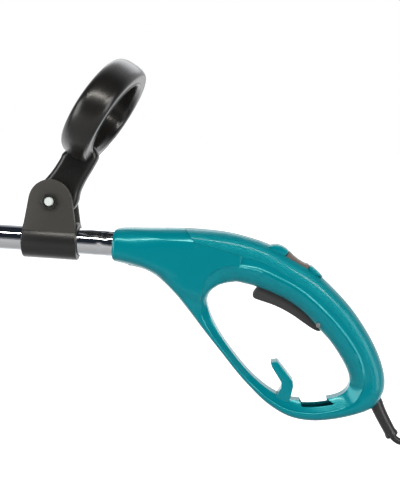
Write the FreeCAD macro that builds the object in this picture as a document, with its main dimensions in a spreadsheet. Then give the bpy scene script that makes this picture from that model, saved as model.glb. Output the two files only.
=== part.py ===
"""Corded electric string trimmer, built sub-part by sub-part in millimetres.

+X runs along the shaft towards the rear handle, +Z is up, and the origin is the middle of the rear grip.
The shaft's axis lies shaft_height above the origin. The cutting head hangs from a fork at the far end.
"""
import FreeCAD, Part
import Sketcher
import math
import os

Vec = FreeCAD.Vector
UP = Vec(0, 0, 1)
doc = FreeCAD.newDocument("StringTrimmer")

# ---------------------------------------------------------------- driving dimensions (millimetres, degrees)

SIZES = {
    "shaft_height": 25.2, "fit_gap": 0.05,
    "upper_radius": 12, "upper_wall": 1.2, "upper_front": -600, "upper_rear": -118,
    "lower_radius": 14, "lower_bore": 12.6, "lower_front": -985, "lower_rear": -486,
    "handle_front": -165, "handle_half": 17.5, "shell_wall": 2.6,
    "handle_outer_round": 6, "socket_length": 34,
    "boss_radius": 4.2, "screw_radius": 1.7, "screw_head": 3.3, "screw_recess": 9, "screw_shank": 17.5,
    "hook_half": 8.5, "trigger_half": 6, "trigger_gap": 0.5,
    "pin_radius": 2, "trigger_pin_x": 17.5, "trigger_pin_z": -33.5,
    "lock_tilt": 30.3, "lock_centre_x": -3.5, "lock_centre_z": 21.2,
    "lock_half_long": 11, "lock_half_wide": 7,
    "relief_radius": 5.4, "relief_lip": 5.9, "relief_out": 33.1, "relief_in": 12, "relief_tilt": 60,
    "relief_x": 74.7, "relief_z": -102.9, "cord_radius": 3.1, "lead_radius": 2.8,
    "pin_spacing": 19, "plug_pin_radius": 2.4, "plug_pin_length": 19, "plug_long": 38, "plug_thick": 27,
    "plug_wide": 38, "plug_x": 127, "plug_top": -321,
    "bolt_x": -225.6, "bolt_rise": 35.4, "bolt_radius": 4, "nut_flats": 13, "nut_height": 6.5,
    "bracket_front": -250, "bracket_rear": -200.6, "bracket_radius": 17, "ear_inner": 9.5, "ear_outer": 14.5,
    "ear_round": 19.6, "fold_rise": 6, "stem_half": 7.4, "stem_round": 17.5,
    "loop_tilt": 59.7, "loop_centre_x": -182.9, "loop_centre_z": 142.8,
    "loop_high": 49, "loop_wide": 70, "loop_thick": 16, "loop_band": 28, "loop_round": 5,
    "knob_radius": 15, "knob_depth": 16,
    "collar_radius": 21, "collar_front": -503, "collar_rear": -458,
    "pivot_x": -1010, "fork_inner": 16, "fork_outer": 21, "fork_round": 18, "fork_socket": 20,
    "head_tilt": 38, "head_drop": 178,
    "stator_radius": 42.6, "armature_radius": 26, "axle_radius": 5,
    "spool_radius": 38.5, "spool_hub": 18, "spool_bore": 14,
    "guard_radius": 160, "guard_half_angle": 80, "guard_wall": 3, "line_radius": 1.2, "cut_radius": 148,
    "bump_radius": 30,
}

sheet = doc.addObject("Spreadsheet::Sheet", "Sizes")
for row, (alias, number) in enumerate(SIZES.items(), start=1):
    sheet.set(f"A{row}", alias)
    sheet.set(f"B{row}", str(number))
    sheet.setAlias(f"B{row}", alias)
doc.recompute()


def size(alias):
    """The number that the sheet holds under an alias."""
    return float(getattr(sheet, alias))


def bind(obj, prop, expression):
    """Tie a property to an expression in the sheet's aliases."""
    obj.setExpression(prop, with_sheet(expression))


def with_sheet(expression):
    """Write 'Sizes.' before each alias in an expression such as 'upper_radius - upper_wall'."""
    words = expression.replace("(", " ( ").replace(")", " ) ").split()
    return " ".join(f"Sizes.{word}" if word in SIZES else word for word in words)


def number_of(expression):
    """What an expression in the sheet's aliases comes to."""
    return float(sheet.evalExpression(with_sheet(expression)))


# ---------------------------------------------------------------- ways of making a sub-part

nodes = {}


def placement(at, towards=UP, spin=0):
    """A place whose local +Z points towards a direction, after a turn about its own axis."""
    turn = FreeCAD.Rotation(UP, Vec(*towards))
    return FreeCAD.Placement(Vec(*at), turn.multiply(FreeCAD.Rotation(UP, spin)))


def keep(label, obj, place=None):
    """Name an object as a finished sub-part."""
    obj.Label = label
    if place is not None:
        obj.Placement = place
    nodes[label] = obj
    return obj


def origin_plane(body, role):
    return next(item for item in body.Origin.OriginFeatures if item.Role == role)


def outline_sketch(body, role, outline):
    """A closed outline of straight edges, each corner's two coordinates bound to the sheet."""
    sketch = body.newObject("Sketcher::SketchObject", "Outline")
    sketch.AttachmentSupport = [(origin_plane(body, role), "")]
    sketch.MapMode = "FlatFace"
    corners = [Vec(number_of(across), number_of(along), 0) for across, along in outline]
    for index, corner in enumerate(corners):
        sketch.addGeometry(Part.LineSegment(corner, corners[(index + 1) % len(corners)]))
    for index in range(len(corners)):
        following = (index + 1) % len(corners)
        sketch.addConstraint(Sketcher.Constraint("Coincident", index, 2, following, 1))
    for index, (across, along) in enumerate(outline):
        for kind, axis, text in (("DistanceX", -2, across), ("DistanceY", -1, along)):
            if text == "0":
                sketch.addConstraint(Sketcher.Constraint("PointOnObject", index, 1, axis))
                continue
            rule = Sketcher.Constraint(kind, -1, 1, index, 1, number_of(text))
            at = sketch.addConstraint(rule)
            sketch.setExpression(f"Constraints[{at}]", with_sheet(text))
    return sketch


def turned(label, outline, place, angle=360):
    """A turned sub-part: an outline of (radius, height) pairs revolved about local Z."""
    body = doc.addObject("PartDesign::Body", label)
    sketch = outline_sketch(body, "XZ_Plane", outline)
    revolution = body.newObject("PartDesign::Revolution", "Turned")
    revolution.Profile = sketch
    revolution.ReferenceAxis = (sketch, ["V_Axis"])
    revolution.Angle = angle
    return keep(label, body, place)


def padded(label, outline, depth, place):
    """A flat sub-part: an outline of (x, y) pairs, padded to a depth along local Z."""
    body = doc.addObject("PartDesign::Body", label)
    sketch = outline_sketch(body, "XY_Plane", outline)
    pad = body.newObject("PartDesign::Pad", "Plate")
    pad.Profile = sketch
    bind(pad, "Length", depth)
    return keep(label, body, place)


def rod(radius, length, place):
    """A plain cylinder bound to the sheet, for a piece or a boolean."""
    cylinder = doc.addObject("Part::Cylinder", "Rod")
    bind(cylinder, "Radius", radius)
    bind(cylinder, "Height", length)
    cylinder.Placement = place
    return cylinder


def block(length, width, height, place):
    """A plain box bound to the sheet, for a piece or a boolean."""
    box = doc.addObject("Part::Box", "Block")
    bind(box, "Length", length)
    bind(box, "Width", width)
    bind(box, "Height", height)
    box.Placement = place
    return box


def less(base, tool):
    """One object cut by another."""
    cut = doc.addObject("Part::Cut", "Less")
    cut.Base = base
    cut.Tool = tool
    return cut


def joined(pieces):
    """Several objects made one."""
    fuse = doc.addObject("Part::MultiFuse", "Joined")
    fuse.Shapes = pieces
    return fuse


def together(label, pieces, place=None):
    """Like pieces that share one node as separate solids."""
    group = doc.addObject("Part::Compound", label)
    group.Links = pieces
    return keep(label, group, place)


def shaped(label, shape, place=None):
    """A sub-part whose shape is worked out here from the sheet's sizes."""
    feature = doc.addObject("Part::Feature", label)
    feature.Shape = shape
    return keep(label, feature, place)


def drilled(shape, holes):
    """A shape less one cylinder for each (radius, start, direction, length)."""
    for radius, start, direction, length in holes:
        shape = shape.cut(Part.makeCylinder(radius, length, Vec(*start), Vec(*direction)))
    return shape


def prism(points, low, high):
    """A solid whose outline lies in the XZ plane, from one Y to another."""
    wire = Part.makePolygon([Vec(x, low, z) for x, z in points + points[:1]])
    return Part.Face(wire).extrude(Vec(0, high - low, 0))


def route_edges(points):
    """Straight runs joined by tangent arcs, with each arc's radius."""
    share = 0.45
    corners = [Vec(*point) for point in points]
    edges, radii = [], []
    start = corners[0]
    for before, corner, after in zip(corners, corners[1:], corners[2:]):
        run_in, run_out = corner - before, after - corner
        half_turn = run_in.getAngle(run_out) / 2
        reach = share * min(run_in.Length, run_out.Length)
        radius = reach / math.tan(half_turn)
        back = Vec(run_in).normalize()
        ahead = Vec(run_out).normalize()
        arc_start, arc_end = corner - back * reach, corner + ahead * reach
        inward = (ahead - back).normalize()
        middle = corner + inward * (radius / math.cos(half_turn) - radius)
        edges.append(Part.LineSegment(start, arc_start).toShape())
        edges.append(Part.Arc(arc_start, middle, arc_end).toShape())
        radii.append(radius)
        start = arc_end
    edges.append(Part.LineSegment(start, corners[-1]).toShape())
    return edges, radii


def tube_along(points, radius):
    """A round cord along a route, its volume compared with its section times its length."""
    edges, radii = route_edges(points)
    path = Part.Wire(edges)
    ahead = Vec(*points[1]) - Vec(*points[0])
    section = Part.Wire([Part.makeCircle(radius, Vec(*points[0]), ahead)])
    solid = path.makePipeShell([section], True, False)
    expected = math.pi * radius ** 2 * path.Length
    print(f"cord radius {radius}: length {path.Length:.1f}, bends", [round(bend, 1) for bend in radii],
          f"volume ratio {solid.Volume / expected:.4f}")
    return solid


# ---------------------------------------------------------------- rear handle: two mirrored shells

SHAFT = size("shaft_height")
HALF = size("handle_half")
WALL = size("shell_wall")
GAP = size("fit_gap")
ALONG_X = Vec(1, 0, 0)
ALONG_Y = Vec(0, 1, 0)

# The shells' outer outline from the socket's top corner over the grip and back under the neck, as (x, z).
HANDLE_OUTER = [
    (-165, 40.2), (-106, 43.8), (-79, 43.2), (-45, 38), (-10, 24.5), (24.5, 2.6), (55, -29), (76, -64),
    (80.5, -85), (69, -108), (40, -119), (12, -122.3), (-12, -116), (-48, -86.4), (-86.7, -43.2),
    (-112, -14.5), (-135, 2.8), (-165, 9),
]
# The hand opening, from its front over the trigger's side and back along the bottom bar.
HAND_OPENING = [
    (-73.6, -5.9), (-55.6, -1), (-36, -4.6), (-10, -14.7), (18.6, -37.8), (38, -59), (49.3, -83),
    (40, -97.5), (15, -103.2), (-12, -101), (-36.5, -86), (-60.9, -60), (-79, -32), (-82, -17),
]
# The cord hook that stands in the hand opening, open towards the front.
CORD_HOOK = [
    (-21.8, -71.2), (-16, -69.9), (-1.2, -86.9), (-0.3, -91.3), (-3, -106), (-15.1, -101), (-10.9, -93.8),
    (-11.2, -88.4), (-20.5, -75),
]
SHELL_SCREWS = [(-100, 33.5), (-94, -20), (-74, 34), (47, -31), (70, -66), (-20, -104.5)]
TRIGGER_SLOT = [(-42.4, 12), (-42.4, -20), (21.9, -46), (27, -42), (27, -28), (5, -5)]
CORD_SLOT = [(5.7, -92), (31.6, -92), (31.6, -108), (5.7, -108)]


def smooth(points, closed):
    """A smooth edge through (x, z) points."""
    curve = Part.BSplineCurve()
    curve.interpolate([Vec(x, 0, z) for x, z in points], PeriodicFlag=closed)
    return curve.toShape()


def moved_in(points, closed, distance):
    """The outline's points moved square to it, to the right of the way it runs."""
    curve = smooth(points, closed).Curve
    tangents = [curve.tangent(curve.parameter(Vec(x, 0, z)))[0] for x, z in points]
    return [(x + distance * way.z, z - distance * way.x) for (x, z), way in zip(points, tangents)]


def handle_face(inset):
    """The handle's side view, its outline less the hand opening, drawn in by an inset all round."""
    edge_points = moved_in(HANDLE_OUTER, False, inset)
    first, last = edge_points[0], edge_points[-1]
    mouth = Part.makeLine(Vec(last[0], 0, last[1]), Vec(first[0], 0, first[1]))
    outer = Part.Face(Part.Wire([smooth(edge_points, False), mouth]))
    opening = Part.Face(Part.Wire([smooth(moved_in(HAND_OPENING, True, -inset), True)]))
    return outer.cut(opening).Faces[0]


def lock_axes():
    """The lock-off button's middle, and its directions along and out of the grip."""
    tilt = math.radians(size("lock_tilt"))
    centre = Vec(size("lock_centre_x"), 0, size("lock_centre_z"))
    return centre, Vec(math.cos(tilt), 0, -math.sin(tilt)), Vec(math.sin(tilt), 0, math.cos(tilt))


def lock_prism(outline, half_width):
    """A prism across the grip from (along, out) points about the lock-off button's middle."""
    centre, along, out = lock_axes()
    corners = [centre + along * u + out * w for u, w in outline]
    return prism([(corner.x, corner.z) for corner in corners], -half_width, half_width)


def relief_axis():
    """Where the strain relief leaves the shells, and the way it points."""
    tilt = math.radians(size("relief_tilt"))
    return Vec(size("relief_x"), 0, size("relief_z")), Vec(math.cos(tilt), 0, -math.sin(tilt))


PIN_SEAT = 9.7
SPRING_ROUND = 4


def handle_shell(side):
    """One shell of the rear handle: side -1 is the right-hand shell, +1 the left-hand one."""
    body = handle_face(0).extrude(Vec(0, side * HALF, 0))
    rims = [edge for edge in body.Edges
            if edge.Length > 50 and all(abs(v.Y - side * HALF) < 1e-6 for v in edge.Vertexes)]
    rims.sort(key=lambda edge: -edge.Length)
    body = body.makeFillet(size("handle_outer_round"), rims[:1])
    hollow = handle_face(WALL).extrude(Vec(0, side * (HALF - WALL), 0))
    front = size("handle_front")
    socket = Part.makeBox(size("socket_length"), 2 * HALF, 60, Vec(front, -HALF, -10))
    shell = body.cut(hollow.cut(socket))
    reach_in = HALF - WALL / 2
    bosses = [Part.makeCylinder(size("boss_radius"), reach_in, Vec(x, 0, z), Vec(0, side, 0))
              for x, z in SHELL_SCREWS]
    bosses.append(Part.makeCylinder(size("boss_radius"), reach_in - PIN_SEAT,
                                    Vec(size("trigger_pin_x"), side * PIN_SEAT, size("trigger_pin_z")),
                                    Vec(0, side, 0)))
    hook = prism(CORD_HOOK, min(0, side * size("hook_half")), max(0, side * size("hook_half")))
    shell = shell.fuse(bosses + [hook])
    half_slot = size("trigger_half") + size("trigger_gap")
    half_lock = size("lock_half_long") + size("trigger_gap")
    openings = [
        prism(TRIGGER_SLOT, -half_slot, half_slot),
        prism(CORD_SLOT, -half_slot, half_slot),
        lock_prism([(-half_lock, -9), (half_lock, -9), (half_lock, 9), (-half_lock, 9)],
                   size("lock_half_wide") + size("trigger_gap")),
    ]
    for opening in openings:
        shell = shell.cut(opening)
    exit_point, exit_way = relief_axis()
    reach = size("upper_rear") - front
    holes = [
        (size("upper_radius") + GAP, (front - 1, 0, SHAFT), ALONG_X, reach + 2),
        (size("relief_radius") + GAP, exit_point - exit_way * 14, exit_way, 30),
        (size("pin_radius") + GAP, (size("trigger_pin_x"), -HALF + WALL, size("trigger_pin_z")), ALONG_Y,
         2 * (HALF - WALL)),
    ]
    if side > 0:
        holes.append((SPRING_ROUND + 2 * GAP, (size("trigger_pin_x"), 0, size("trigger_pin_z")), ALONG_Y,
                      PIN_SEAT))
    for x, z in SHELL_SCREWS:
        holes.append((size("screw_radius") + GAP, (x, -HALF + WALL, z), ALONG_Y, 2 * HALF))
        holes.append((size("screw_head") + GAP, (x, HALF - size("screw_recess"), z), ALONG_Y, HALF))
    shell = drilled(shell, holes)
    return max(shell.Solids, key=lambda solid: solid.Volume)


shaped("handle_shell_right", handle_shell(-1))
shaped("handle_shell_left", handle_shell(1))


def cross_screw(x, z):
    """A self-tapping screw driven across the handle from its left side."""
    head = rod("screw_head", "2.2", placement((x, HALF - size("screw_recess") + 2.2, z), (0, -1, 0)))
    shank = rod("screw_radius", "screw_shank",
                placement((x, HALF - size("screw_recess"), z), (0, -1, 0)))
    return joined([head, shank])


together("handle_screws", [cross_screw(x, z) for x, z in SHELL_SCREWS])

# ---------------------------------------------------------------- trigger, lock-off button and switch

TRIGGER = [
    (-40.4, -4.9), (-41.6, -13.2), (-37.5, -15.4), (-21.1, -20.2), (-7.2, -26.4), (4.9, -33.7),
    (12.3, -38.1), (20.8, -39.6), (23.5, -34), (15, -26), (-8, -8), (-28, 1), (-40.4, 3),
]
PIN = (size("trigger_pin_x"), size("trigger_pin_z"))


def trigger_shape():
    half = size("trigger_half")
    lever = prism(TRIGGER, -half, half)
    return drilled(lever, [(size("pin_radius") + GAP, (PIN[0], -HALF, PIN[1]), ALONG_Y, 2 * HALF)])


shaped("trigger", trigger_shape())
keep("trigger_pin", rod("pin_radius", "2 * ( handle_half - shell_wall ) - 0.4",
                        placement((PIN[0], -HALF + WALL + 0.2, PIN[1]), ALONG_Y)))
turned("trigger_spring", [("2.6", "0"), (str(SPRING_ROUND), "0"), (str(SPRING_ROUND), "2.6"),
                          ("2.6", "2.6")],
       placement((PIN[0], 6.7, PIN[1]), ALONG_Y))

LOCK_OFF = [(-11, -6), (-11, 3), (-7.5, 1.7), (0, 0.7), (7.5, 1.2), (11, 2.2), (11, -6)]
LOCK_FLANGE = [(-13, -6), (-13, -4), (13, -4), (13, -6)]


def lock_off_shape():
    half = size("lock_half_wide")
    button = lock_prism(LOCK_OFF, half).fuse(lock_prism(LOCK_FLANGE, half))
    return button.removeSplitter()


shaped("lock_off", lock_off_shape())
lock_middle, _, lock_out = lock_axes()
turned("lock_off_spring", [("2", "0"), ("3", "0"), ("3", "6.5"), ("2", "6.5")],
       placement(lock_middle - lock_out * 15.8, lock_out))

SWITCH_FRONT, SWITCH_REAR, SWITCH_BASE = -64, -32, 12
PLUNGER_X = -36
switch_case = block("32", "16", "18", placement((SWITCH_FRONT, -8, SWITCH_BASE)))
plunger_way = rod("2.5 + 0.3", "11", placement((PLUNGER_X, 0, SWITCH_BASE - 1)))
keep("switch_body", less(switch_case, plunger_way))
turned("switch_plunger", [("0", "0"), ("2", "0"), ("2.5", "0.5"), ("2.5", "11"), ("0", "11")],
       placement((PLUNGER_X, 0, 3.3)))

# ---------------------------------------------------------------- mains lead: relief, clamp, leads, plug

relief_point, relief_way = relief_axis()
turned("strain_relief", [
    ("0", "0"), ("7", "0"), ("7", "3"), ("relief_radius", "3"),
    ("relief_radius", "relief_in + 6"), ("relief_radius - 0.3", "relief_in + relief_out - 3.5"),
    ("relief_lip", "relief_in + relief_out - 2.5"), ("relief_lip", "relief_in + relief_out"),
    ("0", "relief_in + relief_out")],
    placement(relief_point - relief_way * size("relief_in"), relief_way))

clamp_bar = block("16", "4", "7", placement((52, 5.5, -81)))
keep("cord_clamp", clamp_bar)
together("cord_clamp_screws", [rod("1.4", "5", placement((x, 9.6, -77.5), ALONG_Y)) for x in (54, 66)])

lead_start = relief_point - relief_way * size("relief_in")
SWITCH_LEAD = [
    (lead_start.x, 0, lead_start.z), (65.2, 0, -86.5), (61.8, -0.8, -78), (59, -3.5, -67), (53.5, -8, -55.5),
    (45, -10.8, -44.5), (35, -11.4, -32.5), (24, -11.2, -20.5), (11, -11.3, -9), (-2, -11.2, 1.5),
    (-14, -9.4, 10.5), (-21.5, -6.6, 17), (-27, -5.4, 19), (SWITCH_REAR + 0.1, -5.4, 19),
]
shaped("switch_lead", tube_along(SWITCH_LEAD, size("lead_radius")))
MOTOR_LEAD = [
    (SWITCH_FRONT, 0, 20), (-78, 0, 20.6), (-93, 0, 24), (-109, 0, 25.1), (-150, 0, SHAFT + 0.1),
    (-192, 0, SHAFT - 0.1),
]
shaped("motor_lead", tube_along(MOTOR_LEAD, size("lead_radius")))

relief_end = relief_point + relief_way * size("relief_out")
CORD_ROUTE = [
    (relief_end.x, 0, relief_end.z), (94.6, 0, -135.6), (103, 0, -137), (112.5, 0, -140.5),
    (120.5, 0, -147.5), (126.5, 0, -158), (130, -0.8, -172), (132, -2.2, -190), (133, -3.2, -212),
    (132.2, -2.8, -238), (130, -1.4, -266), (127.6, -0.3, -294), (size("plug_x"), 0, size("plug_top")),
]
shaped("cord", tube_along(CORD_ROUTE, size("cord_radius")))


def plug_shape():
    """A moulded two-pin plug, its sides rounded, hanging with its pins down."""
    wide, thick, tall = size("plug_wide"), size("plug_thick"), size("plug_long")
    corner = Vec(size("plug_x") - wide / 2, -thick / 2, size("plug_top") - tall)
    box = Part.makeBox(wide, thick, tall, corner)
    sides = [edge for edge in box.Edges if abs(edge.BoundBox.ZLength - tall) < 1e-6]
    return box.makeFillet(8, sides)


shaped("plug_body", plug_shape())
together("plug_pins", [
    rod("plug_pin_radius", "plug_pin_length",
        placement((size("plug_x") + side * size("pin_spacing") / 2, 0, size("plug_top") - size("plug_long")),
                  (0, 0, -1)))
    for side in (-1, 1)])

# ---------------------------------------------------------------- upper tube and what it carries


def tube_between(outer, bore, front, rear):
    """A straight tube about the shaft's axis, from its front end to its rear end."""
    start = placement((size(front), 0, SHAFT), ALONG_X)
    return less(rod(outer, f"{rear} - {front}", start), rod(bore, f"{rear} - {front}", start))


keep("upper_tube", tube_between("upper_radius", "upper_radius - upper_wall", "upper_front", "upper_rear"))
turned("coiled_lead", [("5.5", "0"), ("8.5", "0"), ("8.5", "366"), ("5.5", "366")],
       placement((-560, 0, SHAFT), ALONG_X))

# ---------------------------------------------------------------- loop handle on its clamp bracket

BOLT = Vec(size("bolt_x"), 0, SHAFT + size("bolt_rise"))


def tangent_corner(corner, centre, radius, side):
    """Where a line from a corner (x, z) touches a circle, on one side of it."""
    across, rise = corner[0] - centre[0], corner[1] - centre[1]
    angle = math.atan2(rise, across) + side * math.acos(radius / math.hypot(across, rise))
    return centre[0] + radius * math.cos(angle), centre[1] + radius * math.sin(angle)


def bracket_shape():
    """A bent strap round the tube whose two ears hold the loop handle's stem."""
    front, rear = size("bracket_front"), size("bracket_rear")
    inner, outer, round_top = size("ear_inner"), size("ear_outer"), size("ear_round")
    barrel = Part.makeCylinder(size("bracket_radius"), rear - front, Vec(front, 0, SHAFT), ALONG_X)
    fold = SHAFT + size("fold_rise")
    centre = (BOLT.x, BOLT.z)
    left = tangent_corner((front, fold), centre, round_top, -1)
    right = tangent_corner((rear, fold), centre, round_top, 1)
    outline = [(front, SHAFT), (rear, SHAFT), (rear, fold), right, centre, left, (front, fold)]
    shape = barrel
    for low, high in ((-outer, -inner), (inner, outer)):
        top = Part.makeCylinder(round_top, high - low, Vec(BOLT.x, low, BOLT.z), ALONG_Y)
        shape = shape.fuse([prism(outline, low, high), top])
    gap = Part.makeBox(rear - front + 2, 2 * inner, 60, Vec(front - 1, -inner, SHAFT + 4))
    shape = shape.cut(gap).removeSplitter()
    nut_seat = hexagon(size("nut_flats") + 2.2, 3).translated(Vec(BOLT.x, -outer, BOLT.z))
    shape = shape.cut(nut_seat)
    return drilled(shape, [
        (size("upper_radius") + GAP, (front - 1, 0, SHAFT), ALONG_X, rear - front + 2),
        (size("bolt_radius") + GAP, (BOLT.x, -30, BOLT.z), ALONG_Y, 60)])


def hexagon(flats, depth):
    """A hexagonal bar along +Y from the origin, its flats a given distance apart."""
    corner = flats / math.sqrt(3)
    points = [(corner * math.cos(math.radians(60 * k)), corner * math.sin(math.radians(60 * k)))
              for k in range(6)]
    return prism(points, 0, depth)


def nut_shape(start):
    """A hexagon nut whose bore clears its bolt."""
    nut = hexagon(size("nut_flats"), size("nut_height")).translated(start)
    return drilled(nut, [(size("bolt_radius") + GAP, start - ALONG_Y, ALONG_Y, size("nut_height") + 2)])


shaped("clamp_bracket", bracket_shape())
shaped("pivot_nut", nut_shape(Vec(BOLT.x, 3 - size("ear_outer") - size("nut_height"), BOLT.z)))
together("friction_washers", [
    less(rod("16", "1.7", placement((BOLT.x, y, BOLT.z), ALONG_Y)),
         rod("bolt_radius + fit_gap", "1.7", placement((BOLT.x, y, BOLT.z), ALONG_Y)))
    for y in (-size("ear_inner") + 0.1, size("ear_inner") - 1.8)])


def knob_outline(lobes, radius):
    """The (x, y) corners of a lobed grip."""
    dip = 0.78
    steps = 2 * lobes
    return [(radius * (1 if k % 2 == 0 else dip) * math.cos(math.pi * k / lobes),
             radius * (1 if k % 2 == 0 else dip) * math.sin(math.pi * k / lobes)) for k in range(steps)]


def lobed_knob(label, at):
    """A lobed clamping knob on the left side of a joint, padded along +Y."""
    corners = [(f"{x:.3f}", f"{y:.3f}") for x, y in knob_outline(6, size("knob_radius"))]
    return padded(label, corners, "knob_depth", placement(at, ALONG_Y))


knob_start = size("ear_outer") + 0.4
turned("pivot_bolt", [("0", "0"), ("bolt_radius - 0.6", "0"), ("bolt_radius", "0.8"),
                      ("bolt_radius", "ear_outer + 20"), ("0", "ear_outer + 20")],
       placement((BOLT.x, -19.6, BOLT.z), ALONG_Y))
lobed_knob("clamp_knob", (BOLT.x, knob_start, BOLT.z))

LOOP_CENTRE = Vec(size("loop_centre_x"), 0, size("loop_centre_z"))
STEM = [
    (-217.9, 103), (-223, 94), (-229, 84), (-232.4, 76.5), (-225.6, 60.6), (-208.5, 64), (-202, 82),
    (-194, 99.9), (-203, 112), (-212, 112),
]


def loop_shape():
    """An oval loop leaning back over the shaft, with the stem that its bolt passes through."""
    wide, high, thick, band = (size(name) for name in ("loop_wide", "loop_high", "loop_thick", "loop_band"))
    flat = Vec(0, 0, -band / 2)
    ovals = []
    for inset in (0, thick):
        rim = Part.Wire([Part.Ellipse(flat, wide - inset, high - inset).toShape()])
        ovals.append(Part.Face(rim).extrude(Vec(0, 0, band)))
    ring = ovals[0].cut(ovals[1])
    ring = ring.makeFillet(size("loop_round"), [edge for edge in ring.Edges if edge.Closed])
    tilt = math.radians(size("loop_tilt"))
    lean = Vec(math.cos(tilt), 0, math.sin(tilt))
    ring.Placement = FreeCAD.Placement(LOOP_CENTRE, FreeCAD.Rotation(ALONG_Y, lean, Vec(), "XYZ"))
    half = size("stem_half")
    stem = prism(STEM, -half, half)
    eye = Part.makeCylinder(size("stem_round"), 2 * half, Vec(BOLT.x, -half, BOLT.z), ALONG_Y)
    shape = ring.fuse([stem, eye]).removeSplitter()
    return drilled(shape, [(size("bolt_radius") + GAP, (BOLT.x, -30, BOLT.z), ALONG_Y, 60)])


shaped("loop_handle", loop_shape())

# ---------------------------------------------------------------- telescoping lower shaft

keep("lower_tube", tube_between("lower_radius", "lower_bore", "lower_front", "lower_rear"))
turned("tube_collet", [("upper_radius + fit_gap", "0"), ("15.4", "0"), ("15.4", "24"), ("14.6", "26"),
                       ("upper_radius + fit_gap", "26")],
       placement((size("lower_rear"), 0, SHAFT), ALONG_X))
turned("lock_collar", [("lower_radius + 1.7", "0"), ("collar_radius - 3", "0"), ("collar_radius", "6"),
                       ("collar_radius", "collar_rear - collar_front - 6"),
                       ("collar_radius - 3", "collar_rear - collar_front"),
                       ("lower_radius + 1.7", "collar_rear - collar_front")],
       placement((size("collar_front"), 0, SHAFT), ALONG_X))
turned("lower_lead", [("0", "0"), ("lead_radius", "0"), ("lead_radius", "330"), ("0", "330")],
       placement((-940, 0, SHAFT), ALONG_X))
PIVOT = Vec(size("pivot_x"), 0, SHAFT)


SOCKET_START, SOCKET_LONG = -988, 52
LEAD_HOLE = 7
CHEEK_ROOT = -960
FORK_SCREW_X = -955


def fork_shape():
    """The cast fork that holds the head: a socket on the lower tube and two cheeks round the pivot."""
    inner, outer, cheek = size("fork_inner"), size("fork_outer"), size("fork_round")
    shape = Part.makeCylinder(size("fork_socket"), SOCKET_LONG, Vec(SOCKET_START, 0, SHAFT), ALONG_X)
    half = cheek - 0.5
    arm = [(PIVOT.x, SHAFT - half), (CHEEK_ROOT, SHAFT - half), (CHEEK_ROOT, SHAFT + half),
           (PIVOT.x, SHAFT + half)]
    for low, high in ((-outer, -inner), (inner, outer)):
        end = Part.makeCylinder(cheek, high - low, Vec(PIVOT.x, low, PIVOT.z), ALONG_Y)
        shape = shape.fuse([prism(arm, low, high), end])
    shape = shape.removeSplitter()
    return drilled(shape, [
        (size("lower_radius") + GAP, (size("lower_front"), 0, SHAFT), ALONG_X, 60),
        (LEAD_HOLE, (SOCKET_START - 2, 0, SHAFT), ALONG_X, 10),
        (size("bolt_radius") + GAP, (PIVOT.x, -30, PIVOT.z), ALONG_Y, 60),
        (2 + GAP, (FORK_SCREW_X, 0, SHAFT), UP, 30)])


shaped("head_fork", fork_shape())
turned("fork_screw", [("0", "0"), ("2", "0"), ("2", "6.5"), ("3.6", "6.5"), ("3.6", "9"), ("0", "9")],
       placement((FORK_SCREW_X, 0, SHAFT + size("lower_radius") + 0.1)))
shaped("tilt_nut", nut_shape(Vec(PIVOT.x, -size("fork_outer") - size("nut_height"), PIVOT.z)))
turned("tilt_bolt", [("0", "0"), ("bolt_radius - 0.6", "0"), ("bolt_radius", "0.8"),
                     ("bolt_radius", "62"), ("0", "62")],
       placement((PIVOT.x, -29, PIVOT.z), ALONG_Y))
lobed_knob("tilt_knob", (PIVOT.x, size("fork_outer") + 0.4, PIVOT.z))

# ---------------------------------------------------------------- cutting head, drawn upright, then tilted

HEAD = FreeCAD.Placement(PIVOT, FreeCAD.Rotation(ALONG_Y, size("head_tilt"))).multiply(
    FreeCAD.Placement(Vec(0, 0, -size("head_drop")), FreeCAD.Rotation()))
DROP = size("head_drop")

HOUSING = [
    (54, 36), (54, 58), (46, 70), (46, 128), (40, 148), (22, 156), (0, 156),
    (0, 153), (20, 153), (37.5, 146), (43, 127), (43, 69), (51, 57), (51, 36),
]
HOUSING_SCREWS = [(-45, 61), (45, 61), (-31, 141), (31, 141)]
BEARING_TOP = 141


SCREW_RING = 50
GUARD_SCREW_ANGLES = (0, 120, 240)


def round_axis(radius, angle, height):
    """A point of the head at a radius, an angle and a height."""
    turn = math.radians(angle)
    return radius * math.cos(turn), radius * math.sin(turn), height


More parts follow.
